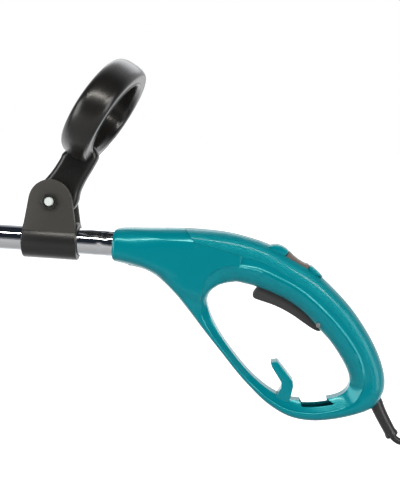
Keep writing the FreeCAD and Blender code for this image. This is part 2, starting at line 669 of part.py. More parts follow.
def housing_shell(side):
    """Half of the motor housing, with half of the lug that hangs in the fork."""
    wire = Part.makePolygon([Vec(r, 0, z) for r, z in HOUSING + HOUSING[:1]])
    turn = -180 if side < 0 else 180
    shell = Part.Face(wire).revolve(Vec(), UP, turn)
    if shell.Volume < 0:
        shell.reverse()
    low = -15.5 if side < 0 else 0
    lug = Part.makeCylinder(16, 15.5, Vec(0, low, DROP), ALONG_Y)
    neck = Part.makeBox(32, 15.5, DROP - 153, Vec(-16, low, 153))
    seat = Part.makeCylinder(15, 13, Vec(0, 0, BEARING_TOP), UP)
    half_space = Part.makeBox(200, 100, 400, Vec(-100, -100 if side < 0 else 0, -100))
    seat = seat.cut(Part.makeCylinder(11 + GAP, 9, Vec(0, 0, BEARING_TOP - 0.5), UP)).common(half_space)
    bosses = [Part.makeCylinder(4, 36, Vec(x, min(0, side * 36), z), ALONG_Y) for x, z in HOUSING_SCREWS]
    outside = Part.Face(Part.makePolygon([Vec(r, 0, z) for r, z in HOUSING[:7] + [(0, 36), (54, 36)]]))
    outside = outside.revolve(Vec(), UP, 360)
    bosses = [boss.common(outside) for boss in bosses]
    shell = shell.fuse([lug, neck, seat] + bosses).removeSplitter()
    holes = [(size("bolt_radius") + GAP, (0, -30, DROP), ALONG_Y, 60)]
    holes += [(size("screw_radius") + GAP, round_axis(SCREW_RING, angle, 30), UP, 10)
              for angle in GUARD_SCREW_ANGLES]
    for x, z in HOUSING_SCREWS:
        holes.append((size("screw_radius") + GAP, (x, -14, z), ALONG_Y, 80))
        holes.append((size("screw_head") + GAP, (x, 12, z), ALONG_Y, 60))
    return drilled(shell, holes)


shaped("motor_housing_right", housing_shell(-1), HEAD)
shaped("motor_housing_left", housing_shell(1), HEAD)


def housing_screw(x, z):
    head = rod("screw_head", "2.2", placement((x, 14.2, z), (0, -1, 0)))
    return joined([head, rod("screw_radius", "25", placement((x, 12, z), (0, -1, 0)))])


together("housing_screws", [housing_screw(x, z) for x, z in HOUSING_SCREWS], HEAD)


def ring(label, bore, outer, low, high):
    """A plain turned ring of the head between two heights."""
    return turned(label, [(bore, low), (outer, low), (outer, high), (bore, high)], HEAD)


ring("stator_core", "armature_radius + 1", "stator_radius", "74", "122")


def coil_arc(low, high, middle_angle):
    """One end of a field coil: an arc of winding beside the stator."""
    wire = Part.makePolygon([Vec(30, 0, low), Vec(41, 0, low), Vec(41, 0, high), Vec(30, 0, high),
                             Vec(30, 0, low)])
    arc = Part.Face(wire).revolve(Vec(), UP, 110)
    arc.rotate(Vec(), UP, middle_angle - 55)
    return arc


COIL_ENDS = [(66, 73.7), (122.3, 127)]
COIL_ANGLES = (90, 270)
shaped("field_coils", Part.makeCompound([coil_arc(low, high, angle) for low, high in COIL_ENDS
                                         for angle in COIL_ANGLES]), HEAD)
turned("bearing_plate", [("13.05", "38"), ("50.8", "38"), ("50.8", "41"), ("16", "41"), ("16", "48"),
                         ("13.05", "48")], HEAD)
ring("lower_bearing", "axle_radius + 0.02", "13", "40", "48")
ring("upper_bearing", "axle_radius + 0.02", "11", "141", "149")


def across(label, pieces):
    """Pieces placed on the head as one node."""
    return together(label, pieces, HEAD)


across("brush_holders", [
    less(rod("4.5", "15", placement((0, side * 14, 134), (0, side, 0))),
         rod("3.3", "15", placement((0, side * 14, 134), (0, side, 0)))) for side in (-1, 1)])
across("carbon_brushes", [rod("3.2", "12", placement((0, side * 12.4, 134), (0, side, 0)))
                          for side in (-1, 1)])


def sector(inner, outer, low, high, half_angle):
    """A turned sector about local +X."""
    wire = Part.makePolygon([Vec(inner, 0, low), Vec(outer, 0, low), Vec(outer, 0, high),
                             Vec(inner, 0, high), Vec(inner, 0, low)])
    piece = Part.Face(wire).revolve(Vec(), UP, 2 * half_angle)
    piece.rotate(Vec(), UP, -half_angle)
    return piece




BLADE_ANGLE = 55
BLADE_SCREW_HEIGHTS = (-3, 4)
BLADE_SCREW = 1.6
BLADE_SCREW_OUT = 162
BLADE_SCREW_LONG = 9


def blade_holes():
    """The radial holes of the two screws that hold the line cutter on the guard's rim."""
    inward = Vec(*round_axis(-1, BLADE_ANGLE, 0))
    return [(BLADE_SCREW + GAP, Vec(*round_axis(BLADE_SCREW_OUT + 1, BLADE_ANGLE, height)), inward,
             BLADE_SCREW_LONG + 2) for height in BLADE_SCREW_HEIGHTS]


def guard_shape():
    """The guard: a collar under the motor, a deck on the user's side and a skirt at its rim."""
    rim, wall, half = size("guard_radius"), size("guard_wall"), size("guard_half_angle")
    collar = Part.makeCylinder(54, 6, Vec(0, 0, 30)).cut(Part.makeCylinder(46, 6, Vec(0, 0, 30)))
    deck = sector(50, rim, 30, 30 + wall, half)
    skirt = sector(rim - wall, rim, -8, 30 + wall, half)
    shape = collar.fuse([deck, skirt]).removeSplitter()
    shape = drilled(shape, [(size("screw_radius") + GAP, round_axis(SCREW_RING, angle, 20), UP, 30)
                            for angle in GUARD_SCREW_ANGLES])
    return drilled(shape, blade_holes())


shaped("guard", guard_shape(), HEAD)


def guard_screw(angle):
    head = rod("screw_head", "2", placement(round_axis(SCREW_RING, angle, 28)))
    return joined([head, rod("screw_radius", "8", placement(round_axis(SCREW_RING, angle, 30)))])


across("guard_screws", [guard_screw(angle) for angle in GUARD_SCREW_ANGLES])
blade = sector(150, 156.9, -7, 8, 3).rotated(Vec(), UP, BLADE_ANGLE)
shaped("line_cutter", drilled(blade, blade_holes()), HEAD)
across("cutter_screws", [
    rod(str(BLADE_SCREW), str(BLADE_SCREW_LONG),
        placement(round_axis(BLADE_SCREW_OUT, BLADE_ANGLE, height), round_axis(-1, BLADE_ANGLE, 0)))
    for height in BLADE_SCREW_HEIGHTS])

# ---------------------------------------------------------------- rotor, spool and bump knob

turned("armature_shaft", [("0", "-12"), ("axle_radius", "-12"), ("axle_radius", "149"), ("0", "149")], HEAD)
ring("armature_core", "axle_radius", "armature_radius", "74", "122")
ring("commutator", "axle_radius", "12", "127", "140")


def fan_shape():
    """A cooling fan: a hub, a backplate and straight blades."""
    plate = Part.makeCylinder(38, 1.6, Vec(0, 0, 50))
    hub = Part.makeCylinder(9, 12, Vec(0, 0, 50))
    blades = []
    blade_count = 9
    for k in range(blade_count):
        blade = Part.makeBox(29.5, 1.6, 9, Vec(7, -0.8, 51))
        blade.rotate(Vec(), UP, 360 * k / blade_count)
        blades.append(blade)
    shape = plate.fuse([hub] + blades).removeSplitter()
    return drilled(shape, [(size("axle_radius"), (0, 0, 40), UP, 40)])


shaped("fan", fan_shape(), HEAD)
EYELET_HEIGHT = 2


def carrier_shape():
    """The drum that turns with the shaft and holds the spool, open below."""
    outline = [(5, 18), (10, 18), (10, 22), (41, 22), (41, -10), (44, -10), (44, 23), (41, 26), (12, 26),
               (12, 34), (5, 34)]
    wire = Part.makePolygon([Vec(r, 0, z) for r, z in outline + outline[:1]])
    drum = Part.Face(wire).revolve(Vec(), UP, 360)
    return drilled(drum, [(3.5 + GAP, (0, -60, EYELET_HEIGHT), ALONG_Y, 120)])


shaped("spool_carrier", carrier_shape(), HEAD)
across("line_eyelets", [
    less(rod("3.5", "5.5", placement((0, side * 41, EYELET_HEIGHT), (0, side, 0))),
         rod("line_radius + 0.2", "5.5", placement((0, side * 41, EYELET_HEIGHT), (0, side, 0))))
    for side in (-1, 1)])
ring("bump_spring", "8", "9.8", "3.4", "17.8")
turned("spool", [
    ("6", "-6"), ("spool_radius", "-6"), ("spool_radius", "-4"), ("spool_hub", "-4"), ("spool_hub", "14"),
    ("spool_radius", "14"), ("spool_radius", "16"), ("spool_bore", "16"), ("spool_bore", "-2"),
    ("6", "-2")], HEAD)
ring("wound_line", "spool_hub", "spool_radius - 3.5", "-4", "14")
turned("bump_knob", [
    ("7", "-6"), ("bump_radius - 6", "-6"), ("bump_radius - 1", "-12"), ("bump_radius", "-20"),
    ("bump_radius - 3", "-26"), ("bump_radius - 10", "-30"), ("0", "-30"), ("0", "-20"), ("7", "-20")], HEAD)


def line_end(side):
    """One free end of the cutting line, sagging a little from its eyelet."""
    reach = size("cut_radius")
    spots = [(42, 0), (62, 0.25), (84, 1), (106, 2.4), (127, 4.4), (reach - 0.6, 7.1)]
    return tube_along([(0, side * out, EYELET_HEIGHT - drop) for out, drop in spots], size("line_radius"))


shaped("line_ends", Part.makeCompound([line_end(-1), line_end(1)]), HEAD)

# ---------------------------------------------------------------- checks and files

doc.recompute()
for obj in doc.Objects:
    if "Invalid" in obj.State or "Error" in obj.State:
        raise RuntimeError(f"{obj.Label} failed: {obj.State}")
os.makedirs("parts", exist_ok=True)
for label, obj in nodes.items():
    shape = obj.Shape
    if shape.isNull() or not shape.isValid() or not shape.Solids:
        raise RuntimeError(f"{label} has no valid solid")
    print(f"{label}: {len(shape.Solids)} solid(s), {shape.Volume / 1000:.2f} cm3")
    shape.exportStep(os.path.join("parts", label + ".step"))
print(len(nodes), "sub-parts")
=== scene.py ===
import math

import bmesh
import bpy
from mathutils import Matrix, Vector
from mathutils.bvhtree import BVHTree


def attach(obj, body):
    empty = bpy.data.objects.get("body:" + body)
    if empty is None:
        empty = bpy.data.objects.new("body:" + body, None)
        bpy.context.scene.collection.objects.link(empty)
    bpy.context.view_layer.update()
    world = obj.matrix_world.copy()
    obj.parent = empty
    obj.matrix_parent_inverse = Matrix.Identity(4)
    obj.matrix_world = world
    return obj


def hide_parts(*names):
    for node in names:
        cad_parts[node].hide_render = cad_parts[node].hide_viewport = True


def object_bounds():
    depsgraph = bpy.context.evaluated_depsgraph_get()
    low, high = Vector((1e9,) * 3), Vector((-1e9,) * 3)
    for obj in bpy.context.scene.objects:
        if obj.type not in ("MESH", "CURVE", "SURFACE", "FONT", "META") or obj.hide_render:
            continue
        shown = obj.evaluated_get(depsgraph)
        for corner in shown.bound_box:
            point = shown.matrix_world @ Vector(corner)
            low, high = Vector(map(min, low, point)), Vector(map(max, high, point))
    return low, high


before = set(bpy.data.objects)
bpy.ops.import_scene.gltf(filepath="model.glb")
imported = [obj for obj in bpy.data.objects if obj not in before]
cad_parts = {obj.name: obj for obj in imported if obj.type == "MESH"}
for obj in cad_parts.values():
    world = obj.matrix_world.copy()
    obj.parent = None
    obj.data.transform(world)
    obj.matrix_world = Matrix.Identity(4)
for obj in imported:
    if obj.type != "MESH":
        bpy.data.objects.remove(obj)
cad_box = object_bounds()
MM = 0.001

# ---- Studio: a pale floor and a bright sweep of white behind the trimmer. Two narrow warm
# softboxes stand high on its right-hand side, with a soft light to either side and a weak one
# behind. The camera stands beside the rear handle, a little above the shaft.
SHAFT_IN_CAMERA = (1.0, -0.0652)
ACROSS_IN_CAMERA = Vector((80.0, 110.0, -1050.0)).normalized()
LOOK_AT = Vector((-0.0911, 0.0, 0.0245))
CAMERA_DISTANCE = 0.9375
CAMERA_LENS = 75.6

shaft_back = -(SHAFT_IN_CAMERA[0] * ACROSS_IN_CAMERA.x
               + SHAFT_IN_CAMERA[1] * ACROSS_IN_CAMERA.y) / ACROSS_IN_CAMERA.z
shaft_axis = Vector((*SHAFT_IN_CAMERA, shaft_back)).normalized()
up_axis = shaft_axis.cross(ACROSS_IN_CAMERA)
camera_turn = Matrix((shaft_axis, ACROSS_IN_CAMERA, up_axis))
camera_data = bpy.data.cameras.new("camera")
camera_data.lens = CAMERA_LENS
camera_data.sensor_width = 36.0
camera_data.clip_end = 200.0
camera = bpy.data.objects.new("camera", camera_data)
bpy.context.scene.collection.objects.link(camera)
backward = camera_turn @ Vector((0, 0, 1))
camera.matrix_world = (Matrix.Translation(LOOK_AT + CAMERA_DISTANCE * backward)
                       @ camera_turn.to_4x4())
bpy.context.scene.camera = camera
bpy.context.scene.view_settings.view_transform = "Standard"


def add_node(tree, kind, **settings):
    """One shader node, with its properties and its unlinked inputs set."""
    node = tree.nodes.new(kind)
    for key, value in settings.items():
        if hasattr(node, key):
            setattr(node, key, value)
        else:
            node.inputs[key.replace("_", " ")].default_value = value
    return node


SWEEP_WHITE = (0.97, 0.98, 1.0, 1.0)
SWEEP_START, SWEEP_END = 0.0, 0.75
ROOM_DARK = (0.02, 0.025, 0.035, 1.0)
world = bpy.data.worlds.new("studio")
world.use_nodes = True
bpy.context.scene.world = world
sky = world.node_tree
sky.nodes.clear()
direction = add_node(sky, "ShaderNodeTexCoord")
axes = add_node(sky, "ShaderNodeSeparateXYZ")
sweep = add_node(sky, "ShaderNodeMapRange", interpolation_type="SMOOTHSTEP")
sweep.inputs["From Min"].default_value = SWEEP_START
sweep.inputs["From Max"].default_value = SWEEP_END
blend_sky = add_node(sky, "ShaderNodeMix", data_type="RGBA")
blend_sky.inputs["A"].default_value = ROOM_DARK
blend_sky.inputs["B"].default_value = SWEEP_WHITE
seen = add_node(sky, "ShaderNodeLightPath")
backdrop = add_node(sky, "ShaderNodeMix", data_type="RGBA")
backdrop.inputs["B"].default_value = (1.0, 1.0, 1.0, 1.0)
glow = add_node(sky, "ShaderNodeBackground")
sky_out = add_node(sky, "ShaderNodeOutputWorld")
sky.links.new(direction.outputs["Generated"], axes.inputs[0])
sky.links.new(axes.outputs["Y"], sweep.inputs["Value"])
sky.links.new(sweep.outputs["Result"], blend_sky.inputs["Factor"])
sky.links.new(blend_sky.outputs["Result"], backdrop.inputs["A"])
sky.links.new(seen.outputs["Is Camera Ray"], backdrop.inputs["Factor"])
sky.links.new(backdrop.outputs["Result"], glow.inputs["Color"])
sky.links.new(glow.outputs["Background"], sky_out.inputs["Surface"])


def softbox(name, azimuth, elevation, distance, width, height, watts, colour):
    """A rectangular studio light aimed at the handle, from azimuth 0 on its right-hand side."""
    turn, rise = math.radians(azimuth), math.radians(elevation)
    way = Vector((math.sin(turn) * math.cos(rise), -math.cos(turn) * math.cos(rise), math.sin(rise)))
    data = bpy.data.lights.new(name, "AREA")
    data.shape = "RECTANGLE"
    data.size = width
    data.size_y = height
    data.energy = watts
    data.color = colour
    light = bpy.data.objects.new(name, data)
    bpy.context.scene.collection.objects.link(light)
    light.matrix_world = (Matrix.Translation(LOOK_AT + way * distance)
                          @ way.to_track_quat("Z", "Y").to_matrix().to_4x4())


softbox("key_light", -4, 41, 1.7, 1.5, 0.16, 17.0, (1.0, 0.96, 0.88))
softbox("grip_light", 37, 27, 1.7, 0.75, 0.16, 7.5, (1.0, 0.96, 0.88))
softbox("side_light_front", -58, 8, 1.8, 0.9, 1.2, 17.0, (1.0, 0.99, 0.98))
softbox("side_light_rear", 52, 6, 1.8, 0.8, 1.2, 13.0, (0.98, 0.99, 1.0))
softbox("far_light", 180, 35, 2.2, 1.6, 0.9, 7.0, (0.96, 0.98, 1.0))

FLOOR_DROP = 0.004
FLOOR_HALF = 60.0
FLOOR_GLOW = 0.95
FLOOR_FADE = (0.0, 0.5)
FLOOR_TONES = (0.5, 0.93)
floor_mesh = bmesh.new()
bmesh.ops.create_grid(floor_mesh, x_segments=1, y_segments=1, size=FLOOR_HALF)
bmesh.ops.translate(floor_mesh, verts=floor_mesh.verts, vec=(0, 0, cad_box[0][2] - FLOOR_DROP))
floor_data = bpy.data.meshes.new("floor")
floor_mesh.to_mesh(floor_data)
floor_mesh.free()
floor = bpy.data.objects.new("floor", floor_data)
bpy.context.scene.collection.objects.link(floor)
floor_paint = bpy.data.materials.new("pale_floor")
floor_paint.use_nodes = True
floor_tree = floor_paint.node_tree
floor_shader = floor_tree.nodes["Principled BSDF"]
floor_shader.inputs["Roughness"].default_value = 0.9
floor_shader.inputs["Specular IOR Level"].default_value = 0.1
floor_shader.inputs["Emission Color"].default_value = (1.0, 1.0, 1.0, 1.0)
floor_place = add_node(floor_tree, "ShaderNodeTexCoord")
floor_axes = add_node(floor_tree, "ShaderNodeSeparateXYZ")
floor_tone = add_node(floor_tree, "ShaderNodeMapRange", interpolation_type="SMOOTHSTEP")
floor_glow = add_node(floor_tree, "ShaderNodeMapRange", interpolation_type="SMOOTHSTEP")
for node, low, high in ((floor_tone, *FLOOR_TONES), (floor_glow, 0.0, FLOOR_GLOW)):
    node.inputs["From Min"].default_value = FLOOR_FADE[0]
    node.inputs["From Max"].default_value = FLOOR_FADE[1]
    node.inputs["To Min"].default_value = low
    node.inputs["To Max"].default_value = high
    floor_tree.links.new(floor_axes.outputs["Y"], node.inputs["Value"])
floor_tree.links.new(floor_place.outputs["Object"], floor_axes.inputs[0])
floor_tree.links.new(floor_tone.outputs["Result"], floor_shader.inputs["Base Color"])
floor_tree.links.new(floor_glow.outputs["Result"], floor_shader.inputs["Emission Strength"])
floor_data.materials.append(floor_paint)


# ---- Mains cord: black rubber cable, 6.2 mm thick. It leaves the sleeve at the
# handle's rear corner and hangs straight to the short-lead plug.
def finish(name, colour, rough, shade=0.75, grain=1400.0, depth=0.00003, patch=18.0,
           rough_span=0.07, stretch=(1.0, 1.0, 1.0), band=None, **sockets):
    """A moulded, painted or metal finish: base colour with faint patches, a varying gloss and a
    fine grain. band names a float attribute that switches on a coarser moulded texture."""
    material = bpy.data.materials.new(name)
    material.use_nodes = True
    tree = material.node_tree
    shader = tree.nodes["Principled BSDF"]
    for key, value in sockets.items():
        shader.inputs[key.replace("_", " ")].default_value = value
    place = add_node(tree, "ShaderNodeTexCoord")
    lie = add_node(tree, "ShaderNodeMapping")
    lie.inputs["Scale"].default_value = stretch
    broad = add_node(tree, "ShaderNodeTexNoise", Scale=patch, Detail=3.0)
    fine = add_node(tree, "ShaderNodeTexNoise", Scale=grain, Detail=2.0)
    hue = add_node(tree, "ShaderNodeMix", data_type="RGBA")
    hue.inputs["A"].default_value = (*[c * shade for c in colour], 1.0)
    hue.inputs["B"].default_value = (*colour, 1.0)
    gloss = add_node(tree, "ShaderNodeMapRange")
    gloss.inputs["From Min"].default_value = 0.3
    gloss.inputs["From Max"].default_value = 0.7
    gloss.inputs["To Min"].default_value = rough - rough_span / 2
    gloss.inputs["To Max"].default_value = rough + rough_span / 2
    bump = add_node(tree, "ShaderNodeBump", Distance=depth)
    links = tree.links
    links.new(place.outputs["Object"], lie.inputs["Vector"])
    links.new(lie.outputs["Vector"], broad.inputs["Vector"])
    links.new(lie.outputs["Vector"], fine.inputs["Vector"])
    links.new(broad.outputs["Fac"], hue.inputs["Factor"])
    links.new(broad.outputs["Fac"], gloss.inputs["Value"])
    links.new(hue.outputs["Result"], shader.inputs["Base Color"])
    links.new(fine.outputs["Fac"], bump.inputs["Height"])
    links.new(bump.outputs["Normal"], shader.inputs["Normal"])
    if band is None:
        links.new(gloss.outputs["Result"], shader.inputs["Roughness"])
        return material
    where = add_node(tree, "ShaderNodeAttribute", attribute_name=band)
    pebble = add_node(tree, "ShaderNodeTexNoise", Scale=BAND_GRAIN, Detail=3.0, Roughness=0.6)
    height = add_node(tree, "ShaderNodeMath", operation="MULTIPLY")
    coarse = add_node(tree, "ShaderNodeBump", Distance=BAND_DEPTH)
    dull = add_node(tree, "ShaderNodeMath", operation="MULTIPLY_ADD")
    dull.inputs[1].default_value = BAND_DULLING
    links.new(lie.outputs["Vector"], pebble.inputs["Vector"])
    links.new(pebble.outputs["Fac"], height.inputs[0])
    links.new(where.outputs["Fac"], height.inputs[1])
    links.new(height.outputs["Value"], coarse.inputs["Height"])
    links.new(bump.outputs["Normal"], coarse.inputs["Normal"])
    links.new(coarse.outputs["Normal"], shader.inputs["Normal"])
    links.new(where.outputs["Fac"], dull.inputs[0])
    links.new(gloss.outputs["Result"], dull.inputs[2])
    links.new(dull.outputs["Value"], shader.inputs["Roughness"])
    return material


def paint(material, *names):
    """Gives CAD nodes their finish."""
    for name in names:
        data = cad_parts[name].data
        data.materials.clear()
        data.materials.append(material)


CORD_ROUTE = [
    (91.25, 0, -131.57), (94.6, 0, -135.6), (103, 0, -137), (112.5, 0, -140.5),
    (120.5, 0, -147.5), (126.5, 0, -158), (130, -0.8, -172), (132, -2.2, -190),
    (133, -3.2, -212), (132.2, -2.8, -238), (130, -1.4, -266), (127.6, -0.3, -294),
    (127, 0, -321)]
CORD_RADIUS = 3.1
cord_rubber = finish("cord_rubber", (0.014, 0.014, 0.015), 0.42, depth=0.00002)
cord_curve = bpy.data.curves.new("mains_cord", "CURVE")
cord_curve.dimensions = "3D"
cord_curve.bevel_depth = CORD_RADIUS * MM
cord_curve.bevel_resolution = 6
cord_curve.use_fill_caps = True
cord_curve.resolution_u = 12
cord_line = cord_curve.splines.new("NURBS")
cord_line.points.add(len(CORD_ROUTE) - 1)
for point, (x, y, z) in zip(cord_line.points, CORD_ROUTE):
    point.co = (x * MM, y * MM, z * MM, 1.0)
cord_line.order_u = 3
cord_line.use_endpoint_u = True
cord_curve.materials.append(cord_rubber)
mains_cord = bpy.data.objects.new("mains_cord", cord_curve)
bpy.context.scene.collection.objects.link(mains_cord)
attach(mains_cord, "handle")
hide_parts("cord")
paint(cord_rubber, "plug_body", "motor_lead", "coiled_lead", "lower_lead")
plated_brass = finish("plated_brass", (0.72, 0.7, 0.66), 0.25, shade=0.92, Metallic=1.0)
paint(plated_brass, "plug_pins")


# ---- Rear handle: two mirrored shells of satin teal plastic screwed together down the
# middle. Each is one moulded ring round the hand opening: an inner wall, a rounded rim,
# a side face and a textured back, 2.4 mm thick, with the cord hook moulded on.
def closed_curve(rows, at):
    """Catmull-Rom value of a closed list of rows at a station number that may lie between two."""
    count = len(rows)
    first = math.floor(at)
    t = at - first
    p0, p1, p2, p3 = [rows[(first + step) % count] for step in (-1, 0, 1, 2)]
    return [0.5 * (2 * b + (c - a) * t + (2 * a - 5 * b + 4 * c - d) * t * t
                   + (3 * b - a - 3 * c + d) * t ** 3)
            for a, b, c, d in zip(p0, p1, p2, p3)]


def ramp(value, start, end):
    """Smooth step from 0 at start to 1 at end."""
    t = min(1.0, max(0.0, (value - start) / (end - start)))
    return t * t * (3 - 2 * t)


def soften(bm, sharp_degrees=38.0):
    """Smooth shading, with edges steeper than that angle kept crisp."""
    for face in bm.faces:
        face.smooth = True
    for edge in bm.edges:
        edge.smooth = edge.calc_face_angle(0.0) < math.radians(sharp_degrees)


def piece(bm, name, material, body, slot, *nodes, sharp=38.0):
    """Makes the bmesh, in millimetres, a finished object that rides on a body."""
    bmesh.ops.scale(bm, vec=(MM, MM, MM), verts=bm.verts)
    soften(bm, sharp)
    data = bpy.data.meshes.new(name)
    bm.to_mesh(data)
    bm.free()
    data.materials.append(material)
    made = bpy.data.objects.new(name, data)
    bpy.context.scene.collection.objects.link(made)
    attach(made, body)
    if nodes:
        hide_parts(*nodes)
    return made


def plate(bm, outline, low, high, rounding, segments=4, both=True):
    """Adds a slab cut to an (x, z) outline between two y values, with rounded rims."""
    base = bm.faces.new([bm.verts.new((x, low, z)) for x, z in outline])
    grown = bmesh.ops.extrude_face_region(bm, geom=[base])
    top = [v for v in grown["geom"] if isinstance(v, bmesh.types.BMVert)]
    bmesh.ops.translate(bm, verts=top, vec=(0, high - low, 0))
    cap = next(f for f in grown["geom"] if isinstance(f, bmesh.types.BMFace))
    slab = {base, cap}
    for edge in list(base.edges) + list(cap.edges):
        slab.update(edge.link_faces)
    bmesh.ops.recalc_face_normals(bm, faces=list(slab))
    rims = list(base.edges) + (list(cap.edges) if both else [])
    if rounding:
        bmesh.ops.bevel(bm, geom=rims, offset=rounding, offset_type="OFFSET", segments=segments,
                        profile=0.5, affect="EDGES", clamp_overlap=True, material=-1)


def rounded(corners, per_side=5):
    """A closed outline that runs smoothly through the corners."""
    return [tuple(closed_curve(corners, i / per_side)) for i in range(len(corners) * per_side)]


# inner x, z; outer x, z; where across the side the rim's crest and the back's edge lie;
# how far the crest and the back's edge stand out; 1 where the rim is coved, 0 where it is round
HANDLE_STATIONS = [
    (-55.4, -1.1, -50.0, 39.3, .345, .59, 17.0, 14.7, 0),
    (-40.0, -3.8, -30.9, 34.1, .38, .59, 17.0, 14.6, 0),
    (-24.7, -8.5, -11.5, 24.8, .37, .57, 17.0, 14.6, 0),
    (-10.0, -14.7, 10.8, 13.2, .37, .55, 17.0, 14.6, 0),
    (4.9, -24.4, 30.6, -2.9, .38, .58, 17.0, 14.6, 0),
    (18.6, -37.8, 46.9, -19.1, .41, .61, 16.5, 14.3, 0),
    (29.1, -48.2, 60.6, -36.8, .42, .62, 16.5, 14.3, 0),
    (38.9, -61.0, 70.6, -53.1, .42, .62, 16.5, 14.2, 0),
    (45.9, -72.6, 77.4, -68.3, .41, .61, 15.5, 13.9, 0.2),
    (49.2, -82.7, 80.5, -81.5, .38, .60, 15.5, 13.7, 0.5),
    (47.1, -91.3, 79.4, -93.2, .36, .60, 15.5, 14.6, 1),
    (40.3, -97.1, 72.2, -105.8, .42, .60, 14.8, 14.4, 1),
    (29.8, -100.6, 57.5, -113.5, .47, .60, 14.0, 13.7, 1),
    (17.4, -102.7, 36.4, -119.8, .50, .60, 13.5, 13.2, 1),
    (5.9, -103.9, 16.0, -122.3, .48, .60, 13.5, 13.2, 1),
    (-4.0, -103.4, -3.9, -119.3, .46, .60, 13.5, 13.2, 1),
    (-15.9, -99.3, -23.3, -108.9, .45, .60, 13.5, 13.2, 1),
    (-28.0, -92.2, -38.5, -96.0, .43, .60, 12.5, 12.2, 1),
    (-41.2, -81.4, -51.9, -82.6, .42, .60, 12.5, 12.2, 1),
    (-54.7, -67.1, -68.3, -64.0, .42, .60, 12.5, 12.2, 1),
    (-67.3, -51.4, -83.8, -46.6, .42, .60, 12.5, 12.2, 1),
    (-76.8, -35.9, -98.3, -29.7, .36, .60, 13.0, 12.8, 1),
    (-82.0, -22.0, -113.7, -13.0, .17, .68, 14.5, 14.4, 0.6),
    (-80.8, -14.5, -129.7, -0.2, .108, .80, 16.0, 16.0, 0.2),
    (-77.7, -9.4, -147.0, 6.3, .104, .88, 16.0, 16.0, 0),
    (-72.6, -5.4, -162.4, 9.0, .127, .94, 16.0, 16.0, 0),
    (-70.4, -4.2, -168.0, 13.6, .131, .965, 16.0, 16.0, 0),
    (-69.0, -3.7, -168.4, 24.0, .134, .968, 16.0, 16.0, 0),
    (-68.0, -3.4, -168.0, 34.8, .131, .965, 16.0, 16.0, 0),
    (-67.2, -3.1, -163.0, 39.9, .139, .92, 16.0, 16.0, 0),
    (-66.4, -2.8, -136.9, 41.7, .178, .82, 16.0, 16.0, 0),
    (-65.0, -2.5, -104.8, 43.5, .25, .76, 16.0, 15.9, 0),
    (-62.6, -2.0, -79.0, 43.2, .319, .665, 16.0, 15.6, 0),
    (-59.4, -1.5, -64.5, 41.9, .355, .615, 16.4, 15.0, 0),
]
WALL = 2.4
INNER_WALL = 6.5
HALF_SEAM = 0.12
# station numbers: where the back's texture starts at the notch and ends at the heel, where the
# side runs into the flat neck, and where the neck's raised tongue ends on the grip
NOTCH, BACK_END, BAND_END = 31.0, 9.8, 9.5
NECK_BLEND = (21.8, 23.4)
TONGUE = 34.0
EDGE_GAP, COVE_SWELL, RIDGE_ROUND = 0.012, 1.2, 1.1
WALL_ROWS, RIM_ROWS, SIDE_ROWS, BACK_ROWS = 3, 7, 7, 10
BAND_GRAIN, BAND_DEPTH, BAND_DULLING = 900.0, 0.00055, 0.05


def section(at):
    """Points (share from inner to outer edge, depth) and grain across the shell at one station."""
    _, _, _, _, crest, edge, crest_depth, edge_depth, cove = closed_curve(HANDLE_STATIONS, at)
    panel = ramp(at, *NECK_BLEND) * (1 - ramp(at, TONGUE - 0.10, TONGUE - 0.01))
    banded = at > NOTCH + 0.4 or at < BAND_END
    backed = at > NOTCH or at < BACK_END
    row = [(0.0, HALF_SEAM + (INNER_WALL - HALF_SEAM) * i / WALL_ROWS, 0.0) for i in range(WALL_ROWS)]
    for i in range(RIM_ROWS + 1):
        t = i / RIM_ROWS
        angle = t * math.pi / 2
        share = crest * (t * cove + (1 - math.cos(angle)) * (1 - cove))
        rise = t ** COVE_SWELL * cove + math.sin(angle) * (1 - cove)
        top = crest_depth - RIDGE_ROUND * cove
        row.append((share, INNER_WALL + (top - INNER_WALL) * rise, float(banded and i > 1)))
    for i in range(SIDE_ROWS + 1):
        t = i / SIDE_ROWS
        share = crest + (edge - crest) * (EDGE_GAP + (1 - 2 * EDGE_GAP) * t)
        fall = 1 - (1 - t) ** 3
        depth = ((crest_depth + (edge_depth - crest_depth) * fall) * (1 - cove)
                 + (edge_depth - RIDGE_ROUND * (1 - t) ** 2) * cove)
        row.append((share, depth + (NECK_HALF - depth) * panel, 0.0))
    for i in range(BACK_ROWS + 1):
        angle = i / BACK_ROWS * math.pi / 2
        depth = max(HALF_SEAM, edge_depth * abs(math.cos(angle)) ** BACK_SQUARE)
        row.append((edge + (1 - edge) * math.sin(angle) ** BACK_SQUARE, depth, float(backed)))
    row.append((1.0, HALF_SEAM, float(backed)))
    return row


def outer_line(start, end, tail):
    """The handle's outer edge between two stations, carried on to a tail point past the mouth."""
    steps = 80
    line = [closed_curve(HANDLE_STATIONS, start + (end - start) * i / steps)[2:4] for i in range(steps + 1)]
    return [Vector(point) for point in line + [tail]]


def gap_to(line, point):
    """Shortest distance from a point to a line of points."""
    best = 1e9
    for a, b in zip(line, line[1:]):
        span = b - a
        t = min(1.0, max(0.0, (point - a).dot(span) / span.length_squared))
        best = min(best, (a + span * t - point).length)
    return best


def quarter(gap, radius):
    """Height share of a rounded edge at a distance from that edge."""
    return math.sqrt(max(0.0, 1 - (1 - min(1.0, gap / radius)) ** 2))


def neck_depth(x, z):
    """Half width of the neck: flat sides, a wide round along the top, and a flat front mouth."""
    point = Vector((x, z))
    front = min(MOUTH_ROUND, max(0.0, x - MOUTH))
    drop = MOUTH_ROUND - math.sqrt(MOUTH_ROUND ** 2 - (MOUTH_ROUND - front) ** 2)
    return (NECK_HALF * quarter(gap_to(top_line, point), NECK_TOP_ROUND)
            * quarter(gap_to(low_line, point), NECK_LOW_ROUND) - drop)


